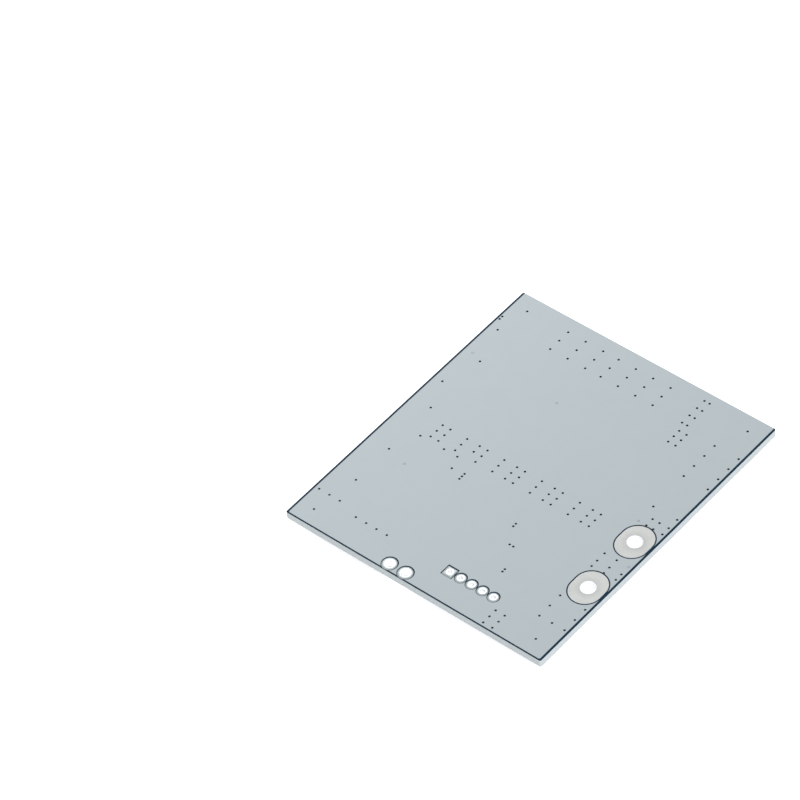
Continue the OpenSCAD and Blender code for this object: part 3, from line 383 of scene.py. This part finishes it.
def mask_finish(settings):
    """Glossy solder mask: dark on the back, with a haze of thin tin round the small pads, and lighter on
    the component side, most of all where it rises over copper."""
    finish = Finish("Dark solder mask")
    mottle = finish.group(effect(mottle_group), broad=500.0, fine=3000.0, share=0.3)
    height = finish.node("ShaderNodeSeparateXYZ", {0: finish.place}).outputs[2]
    over_copper = finish.math("LESS_THAN", height, FRONT_MASK_LOW.z + LEVEL_SLACK)
    in_front = finish.math("LESS_THAN", height, FRONT_MASK_HIGH.z + LEVEL_SLACK)
    near = 0.0
    for pad in map(Pad, PLATED_HOLES):
        if pad.small:
            reach = pad.half_width + settings.haze_width
            pad.centre.y -= settings.haze_sag
            haze = finish.fade(pad.distance(finish), reach, reach + HAZE_FADE)
            near = finish.math("MAXIMUM", near, haze)
    back = finish.mix(near, settings.mask, settings.haze)
    finish.set(
        base_color=finish.mix(
            over_copper, finish.mix(in_front, back, settings.mask_bare),
            finish.mottled(mottle, settings.mask_copper, 0.8, 1.25),
        ),
        roughness=finish.math("MULTIPLY_ADD", mottle.outputs["Tone"], 0.12, 0.24),
        specular_ior_level=finish.math("MULTIPLY_ADD", in_front, 0.2, 0.1),
    )
    return finish.bump(mottle.outputs["Height"], 0.1, 0.01)


def laminate_finish(settings):
    """Routed edge: glass plies as thin strata, broken up by cut thread ends."""
    finish = Finish("Glass-epoxy laminate")
    cloth = finish.group(effect(weave_group), thread=0.55 * MM, ply=settings.ply)
    mottle = finish.group(effect(mottle_group), broad=900.0, fine=7000.0, share=0.5)
    glass = settings.laminate
    strata = finish.mix(cloth.outputs["Plies"], shade(glass, 0.86), shade(glass, 1.06))
    threads = finish.math("MULTIPLY", cloth.outputs["Threads"], 0.35)
    woven = finish.mix(threads, strata, shade(glass, 1.12))
    dirt = finish.math("MULTIPLY", mottle.outputs["Tone"], 0.3)
    finish.set(base_color=finish.mix(dirt, woven, shade(glass, 0.7)), roughness=0.6)
    return finish.bump(mottle.outputs["Height"], 0.35, 0.02)


def barrel_finish(settings):
    """Via plating: one near-black tone for tarnish and painted shade in the hole, lighter towards the wire
    edge.
    """
    finish = Finish("Via plating with tarnish and painted shade")
    mottle = finish.group(effect(mottle_group), broad=350.0, fine=9000.0, share=0.4)
    along = finish.node("ShaderNodeSeparateXYZ", {0: finish.place}).outputs[1]
    lightening = finish.math("ADD", finish.fade(along, BOARD_LOW.y, BOARD_HIGH.y * 0.6), -0.4)
    lightening = finish.math("ADD", lightening, finish.math("MULTIPLY", mottle.outputs["Tone"], 0.7), clamp=True)
    # Mixes the near-black tone of tarnish and painted shade towards a lighter one, more towards the wire
    # edge, with a random mottle.
    colour = finish.mix(lightening, settings.barrel, settings.lighter_barrel)
    finish.set(base_color=colour, metallic=0.2, roughness=0.6)
    return finish.bump(mottle.outputs["Height"], 0.3, 0.01)


def tin_finish(settings, name, pad=None):
    """Levelled tin: a satin metal with a slow ripple, with painted light that whitens a hole and the lip of
    a small one.
    """
    finish = Finish(name)
    mottle = finish.group(effect(mottle_group), broad=420.0, fine=2600.0, share=0.35)
    tin = settings.small_tin if pad and pad.small else settings.tin
    colour = finish.mottled(mottle, tin, 0.88, 1.12)
    if pad:
        radius = pad.hole_radius
        if pad.small:
            # Painted light: the lip round a small hole is whitened towards the near-white barrel tone.
            painted_lip = PAINTED_LIGHT_LIP_SPREAD / radius
            near = finish.fade(pad.distance(finish, "Round"), radius + painted_lip, radius + 4 * painted_lip)
            colour = finish.mix(near, colour, settings.barrel_tin_and_painted_light)
        else:
            near = finish.fade(pad.distance(finish), radius, 2 * radius)
            dulling = finish.math("MULTIPLY", near, settings.hole_dulling)
            colour = finish.mix(dulling, colour, settings.dull_tin)
        # Painted light: the wall inside every plated hole takes the near-white barrel tone.
        in_barrel = finish.math("LESS_THAN", pad.distance(finish, "Round"), radius + BORE_SLACK)
        colour = finish.mix(in_barrel, colour, settings.barrel_tin_and_painted_light)
    finish.set(
        base_color=colour, metallic=settings.tin_metal,
        roughness=finish.math("MULTIPLY_ADD", mottle.outputs["Tone"], 0.14, settings.tin_roughness - 0.07),
    )
    return finish.bump(mottle.outputs["Tone"], 0.25, 0.03)


def solder_finish(settings):
    """Bright solder with the slow waves that it freezes in."""
    finish = Finish("Solder")
    mottle = finish.group(effect(mottle_group), broad=700.0, fine=6000.0, share=0.15)
    finish.set(
        base_color=finish.mottled(mottle, settings.solder, 0.85, 1.12),
        metallic=1.0,
        roughness=finish.math("MULTIPLY_ADD", mottle.outputs["Tone"], 0.2, settings.solder_roughness - 0.08),
    )
    return finish.bump(mottle.outputs["Tone"], 0.5, 0.08)


def grained_finish(name, colour, roughness, grain_scale, depth_mm, spread=0.2, metallic=0.0, coat=0.0):
    """A plain finish with a fine grain in its tone and surface, for mouldings, ceramics and leads."""
    finish = Finish(name)
    mottle = finish.group(effect(mottle_group), broad=grain_scale / 6, fine=grain_scale, share=0.6)
    finish.set(
        base_color=finish.mottled(mottle, colour, 1 - spread, 1 + spread),
        roughness=finish.math("MULTIPLY_ADD", mottle.outputs["Tone"], 0.16, roughness - 0.08),
        metallic=metallic, coat_weight=coat,
    )
    return finish.bump(mottle.outputs["Height"], 0.4, depth_mm)


# ---------- closed vias ----------

def islands(name):
    """Box of each separate solid of a CAD node, lowest corner first."""
    mesh = bmesh.new()
    mesh.from_mesh(frame["nodes"][name].data)
    bmesh.ops.remove_doubles(mesh, verts=mesh.verts, dist=0.001 * MM)
    left, boxes = set(mesh.verts), []
    while left:
        reached = [left.pop()]
        for vert in reached:
            for edge in vert.link_edges:
                other = edge.other_vert(vert)
                if other in left:
                    left.remove(other)
                    reached.append(other)
        corners = [vert.co for vert in reached]
        boxes.append((
            Vector(min(co[axis] for co in corners) for axis in range(3)),
            Vector(max(co[axis] for co in corners) for axis in range(3)),
        ))
    mesh.free()
    return sorted(boxes, key=lambda box: tuple(box[0]))


def new_piece(name, mesh, material):
    """An object of its own from a bmesh, with one material."""
    bmesh.ops.recalc_face_normals(mesh, faces=mesh.faces)
    data = bpy.data.meshes.new(name)
    mesh.to_mesh(data)
    mesh.free()
    data.materials.append(material)
    piece = bpy.data.objects.new(name, data)
    bpy.context.collection.objects.link(piece)
    return piece


CLOSED_VIAS_MM = ((23.5, 1.85), (-6.8, 15.8), (-19.95, -12.6), (28.95, -7.9), (-27.7, 16.6))


def fill_vias(settings):
    """Coat ink that has run into a few of the vias and closed them, a little below the coat."""
    barrels = [(low + high) / 2 for low, high in islands("via_barrels")]
    mesh = bmesh.new()
    for x, y in CLOSED_VIAS_MM:
        middle = min(barrels, key=lambda point: (point.xy - Vector((x, y)) * MM).length)
        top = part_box("back_coat")[1].z - settings.ink_depth
        depth = top - BOARD_HIGH.z + settings.plug_root
        bmesh.ops.create_cone(
            mesh, cap_ends=True, segments=ROUND_SEGMENTS, depth=depth,
            radius1=settings.plug_radius, radius2=settings.plug_radius,
            matrix=Matrix.Translation((middle.x, middle.y, top - depth / 2)),
        )
    return new_piece("via_ink", mesh, coat_finish(settings).material)


# ---------- printed legend ----------

class Legend:
    """Flat printed shapes on the component side, all in one mesh."""

    def __init__(self, settings):
        self.mesh = bmesh.new()
        self.settings = settings
        self.top = FRONT_MASK_HIGH.z - MASK_FILM

    def bar(self, centre_x, centre_y, width, length):
        slab = bmesh.ops.create_cube(self.mesh, size=1)["verts"]
        thickness = self.settings.thickness
        bmesh.ops.scale(self.mesh, verts=slab, vec=(width, length, thickness))
        bmesh.ops.translate(self.mesh, verts=slab, vec=(centre_x, centre_y, self.top - thickness / 2))

    def frame_round(self, low, high, gap_x, gap_y):
        """A closed rectangle that keeps a gap from a package's box."""
        line, mid, half = self.settings.line, (low + high) / 2, (high - low) / 2
        reach_x, reach_y = half.x + gap_x + line / 2, half.y + gap_y + line / 2
        for side in (-1, 1):
            self.bar(mid.x + side * reach_x, mid.y, line, 2 * reach_y + line)
            self.bar(mid.x, mid.y + side * reach_y, 2 * reach_x - line, line)

    def dot(self, x, y, radius):
        made = bmesh.ops.create_circle(
            self.mesh, cap_ends=True, segments=ROUND_SEGMENTS, radius=radius
        )["verts"]
        bmesh.ops.translate(self.mesh, verts=made, vec=(x, y, self.top))
        face = [made[0].link_faces[0]]
        raised = bmesh.ops.extrude_face_region(self.mesh, geom=face)["geom"]
        moved = [part for part in raised if isinstance(part, bmesh.types.BMVert)]
        bmesh.ops.translate(self.mesh, verts=moved, vec=(0, 0, -self.settings.thickness))


CHIP_END_GAP = 0.6 * MM  # from the end of a chip part's body to the line beyond its soldered end
SENSE_GAP = 0.12 * MM  # from a sense resistor's side to the middle of its line
SENSE_SHARE = 0.45  # how much of that side the line covers
DIODE_INSET = 1.1 * MM  # how far in from a diode's ends its end lines run under its body
DOT_RADIUS = 0.2 * MM
DOT_PLACE = Vector((-1.2, -0.35)) * MM  # from the monitor chip's lowest corner, beside its first lead


def print_legend(settings):
    """Outlines and bars by the packages, and a dot by the monitor chip's first lead."""
    legend, gap, line = Legend(settings), settings.clearance, settings.line
    for name in ("bleed_resistor_bodies", "chip_resistor_bodies", "chip_capacitor_bodies"):
        for low, high in islands(name):
            upright = high.y - low.y > high.x - low.x
            gaps = (gap, CHIP_END_GAP) if upright else (CHIP_END_GAP, gap)
            legend.frame_round(low, high, *gaps)
    for low, high in islands("sense_resistor_bodies"):
        for side in (low.x - SENSE_GAP, high.x + SENSE_GAP):
            legend.bar(side, (low.y + high.y) / 2, line, (high.y - low.y) * SENSE_SHARE)
    for name in ("balance_chip_bodies", "driver_bodies"):
        for low, high in islands(name):
            middle, size = (low + high) / 2, high - low
            if size.y > size.x:
                for y in (low.y - gap, high.y + gap):
                    legend.bar(middle.x, y, size.x, line)
            else:
                for x in (low.x - gap, high.x + gap):
                    legend.bar(x, middle.y, line, size.y)
    for name in ("input_diode_body", "output_diode_body"):
        low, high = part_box(name)
        legend.frame_round(low, high, gap, -DIODE_INSET - line / 2)
    low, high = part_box("monitor_chip_body")
    for y in (low.y - gap, high.y + gap):
        legend.bar((low.x + high.x) / 2, y, high.x - low.x, line)
    legend.dot(low.x + DOT_PLACE.x, low.y + DOT_PLACE.y, DOT_RADIUS)
    for name in sorted(frame["nodes"]):
        if name.startswith(("discharge_fet_body", "charge_fet_body")):
            low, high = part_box(name)
            for side in (low.x - gap - line / 2, high.x + gap + line / 2):
                legend.bar(side, (low.y + high.y) / 2, line, high.y - low.y)
    ink = grained_finish("White legend ink", settings.ink, 0.5, 6000.0, 0.006, spread=0.05)
    return new_piece("printed_legend", legend.mesh, ink.material)


# ---------- stage ----------

def white_world(sky):
    """Even light on the board, and plain white wherever the world is seen or mirrored."""
    world = bpy.data.worlds.new("White studio")
    world.use_nodes = True
    tree = world.node_tree
    background = tree.nodes["Background"]
    rays = tree.nodes.new("ShaderNodeLightPath").outputs
    seen = add_math(tree, "ADD", rays["Is Camera Ray"], rays["Is Glossy Ray"])
    seen = add_math(tree, "ADD", seen, rays["Is Transmission Ray"], clamp=True)
    level = add_node(tree, "ShaderNodeMix", {0: seen, 2: sky, 3: 1.0})
    background.inputs["Color"].default_value = (1, 1, 1, 1)
    tree.links.new(level.outputs[0], background.inputs["Strength"])
    bpy.context.scene.world = world


def floor_material():
    """Pale floor: white to the camera, shaded by the board, and clear from below and to the low lamp."""
    material = bpy.data.materials.new("Pale floor")
    material.use_nodes = True
    tree = material.node_tree
    shader = tree.nodes["Principled BSDF"]
    shader.inputs["Base Color"].default_value = (0.9, 0.9, 0.9, 1)
    shader.inputs["Roughness"].default_value = 0.9
    shader.inputs["Specular IOR Level"].default_value = 0.1
    shader.inputs["Emission Color"].default_value = (1, 1, 1, 1)
    rays = tree.nodes.new("ShaderNodeLightPath").outputs
    seen = add_math(tree, "ADD", rays["Is Camera Ray"], rays["Is Glossy Ray"], clamp=True)
    tree.links.new(add_math(tree, "MULTIPLY", seen, 0.7), shader.inputs["Emission Strength"])
    from_below = tree.nodes.new("ShaderNodeNewGeometry").outputs["Backfacing"]
    open_way = add_math(tree, "ADD", from_below, rays["Is Shadow Ray"], clamp=True)
    clear = tree.nodes.new("ShaderNodeBsdfTransparent")
    both = add_node(tree, "ShaderNodeMixShader", {0: open_way, 1: shader.outputs[0], 2: clear.outputs[0]})
    tree.links.new(both.outputs[0], tree.nodes["Material Output"].inputs["Surface"])
    return material


def lay_floor(side):
    """A square floor just below the packages that the board stands on."""
    mesh = bmesh.new()
    bmesh.ops.create_grid(mesh, x_segments=1, y_segments=1, size=side / 2)
    bmesh.ops.translate(mesh, verts=mesh.verts, vec=(0, 0, -LEVEL_SLACK))
    data = bpy.data.meshes.new("floor")
    mesh.to_mesh(data)
    mesh.free()
    data.materials.append(floor_material())
    floor = bpy.data.objects.new("floor", data)
    bpy.context.collection.objects.link(floor)
    return floor


def towards(azimuth, elevation):
    """Unit vector from the board to a viewer; azimuth 0 is in front of the wire edge."""
    level = math.cos(elevation)
    return Vector((math.sin(azimuth) * level, -math.cos(azimuth) * level, math.sin(elevation)))


def hang_lamp(name, power, azimuth, elevation, distance, side):
    """A square area lamp that faces the board; angles in degrees, lengths in metres."""
    data = bpy.data.lights.new(name, "AREA")
    data.shape = "SQUARE"
    data.size = side
    data.energy = power
    lamp = bpy.data.objects.new(name, data)
    bpy.context.collection.objects.link(lamp)
    way = towards(math.radians(azimuth), math.radians(elevation))
    lamp.location = way * distance
    lamp.rotation_euler = way.to_track_quat("Z", "Y").to_euler()
    return lamp


def stand_camera(settings):
    data = bpy.data.cameras.new("camera")
    data.lens = settings.lens
    data.sensor_width = 36
    data.clip_start = 0.01
    data.clip_end = 20
    camera = bpy.data.objects.new("camera", data)
    bpy.context.collection.objects.link(camera)
    back = towards(settings.azimuth, settings.elevation)
    right = Vector((math.cos(settings.azimuth), math.sin(settings.azimuth), 0))
    turn = Matrix((right, back.cross(right), back)).transposed()
    camera.matrix_world = (
        Matrix.Translation(Vector(settings.aim) + back * settings.distance)
        @ (turn @ Matrix.Rotation(settings.roll, 3, "Z")).to_4x4()
    )
    bpy.context.scene.camera = camera


# ---------- operators ----------

class BOARD_OT_board_layers(bpy.types.Operator):
    """Finish the laminate, the solder masks, the pale coat and the vias"""
    bl_idname = "board.board_layers"
    bl_label = "Finish board layers"

    def execute(self, context):
        settings = context.scene.board_finish
        laminate_finish(settings).put_on("laminate")
        mask_finish(settings).put_on("solder_mask")
        coat_finish(settings).put_on("coat")
        barrel_finish(settings).put_on_node("via_barrels")
        foil = grained_finish("Copper foil", settings.copper, 0.35, 4000.0, 0.006, metallic=1.0)
        foil.put_on_node("front_copper")
        return {"FINISHED"}


class BOARD_OT_closed_vias(bpy.types.Operator):
    """Fill the vias that the coat has run into"""
    bl_idname = "board.closed_vias"
    bl_label = "Close vias"

    def execute(self, context):
        piece = fill_vias(context.scene.board_finish)
        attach(piece, "root")
        return {"FINISHED"}


class BOARD_OT_terminals(bpy.types.Operator):
    """Finish the tinned pads and lands, the solder bars and the joints"""
    bl_idname = "board.terminals"
    bl_label = "Finish terminals"

    def execute(self, context):
        settings = context.scene.terminal_finish
        tin_finish(settings, "Levelled tin").put_on("tin")
        for name in PLATED_HOLES:
            tin_finish(settings, "Levelled tin of " + name, Pad(name)).put_on_node(name)
        solder_finish(settings).put_on("solder")
        return {"FINISHED"}


class BOARD_OT_packages(bpy.types.Operator):
    """Finish the moulded packages, their leads and the chip parts"""
    bl_idname = "board.packages"
    bl_label = "Finish packages"

    def execute(self, context):
        settings = context.scene.package_finish
        finishes = {
            "epoxy": grained_finish("Black moulded epoxy", settings.epoxy, 0.55, 9000.0, 0.02, spread=0.35),
            "leads": grained_finish("Matt tin plating", settings.lead, 0.36, 7000.0, 0.006, metallic=1.0),
            "sense_body": grained_finish(
                "Dark resistor coating", settings.sense, 0.38, 5000.0, 0.01, coat=0.2
            ),
            "alumina": grained_finish("White alumina", settings.alumina, 0.5, 8000.0, 0.006, spread=0.05),
            "glaze": grained_finish("Black glaze", settings.glaze, 0.22, 2500.0, 0.01, coat=0.6),
            "dielectric": grained_finish(
                "Fired brown ceramic", settings.dielectric, 0.45, 6000.0, 0.008, spread=0.12
            ),
        }
        for slot, finish in finishes.items():
            finish.put_on(slot)
        return {"FINISHED"}


class BOARD_OT_legend(bpy.types.Operator):
    """Print the white outlines on the component side"""
    bl_idname = "board.legend"
    bl_label = "Print legend"

    def execute(self, context):
        piece = print_legend(context.scene.legend_print)
        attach(piece, "root")
        return {"FINISHED"}


class BOARD_OT_stage(bpy.types.Operator):
    """Lay the floor, hang the lamps, set the world and stand the camera"""
    bl_idname = "board.stage"
    bl_label = "Set the stage"

    def execute(self, context):
        settings = context.scene.stage_setup
        context.scene.view_settings.view_transform = "Standard"
        white_world(settings.sky)
        lay_floor(settings.floor_side)
        hang_lamp("soft lamp", settings.lamp, azimuth=-121, elevation=25, distance=0.5, side=0.3)
        hang_lamp("side lamp", settings.side_lamp, azimuth=62, elevation=45, distance=1.6, side=1.2)
        hang_lamp("low lamp", settings.low_lamp, azimuth=75, elevation=-70, distance=1.6, side=1.2)
        stand_camera(settings)
        return {"FINISHED"}


class BOARD_PT_sidebar(bpy.types.Panel):
    bl_idname = "BOARD_PT_sidebar"
    bl_label = "Battery protection board"
    bl_space_type = "VIEW_3D"
    bl_region_type = "UI"
    bl_category = "Board"

    def draw(self, context):
        for group, operators in LISTED.items():
            box = self.layout.box()
            settings = getattr(context.scene, group)
            for name in settings.bl_rna.properties.keys():
                if name not in ("rna_type", "name"):
                    box.prop(settings, name)
            for operator in operators:
                box.operator(operator.bl_idname)


LISTED = {
    "board_finish": (BOARD_OT_board_layers, BOARD_OT_closed_vias),
    "terminal_finish": (BOARD_OT_terminals,),
    "package_finish": (BOARD_OT_packages,),
    "legend_print": (BOARD_OT_legend,),
    "stage_setup": (BOARD_OT_stage,),
}
GROUP_TYPES = {
    "board_finish": BoardFinish,
    "terminal_finish": TerminalFinish,
    "package_finish": PackageFinish,
    "legend_print": LegendPrint,
    "stage_setup": StageSetup,
}
OPERATORS = [operator for operators in LISTED.values() for operator in operators]


def register():
    for kind in (*GROUP_TYPES.values(), *OPERATORS, BOARD_PT_sidebar):
        bpy.utils.register_class(kind)
    for name, kind in GROUP_TYPES.items():
        setattr(bpy.types.Scene, name, bpy.props.PointerProperty(type=kind))


def unregister():
    for name in GROUP_TYPES:
        delattr(bpy.types.Scene, name)
    for kind in reversed((*GROUP_TYPES.values(), *OPERATORS, BOARD_PT_sidebar)):
        bpy.utils.unregister_class(kind)


def main():
    register()
    for operator in OPERATORS:
        group, name = operator.bl_idname.split(".")
        getattr(getattr(bpy.ops, group), name)()


if __name__ == "__main__":
    main()
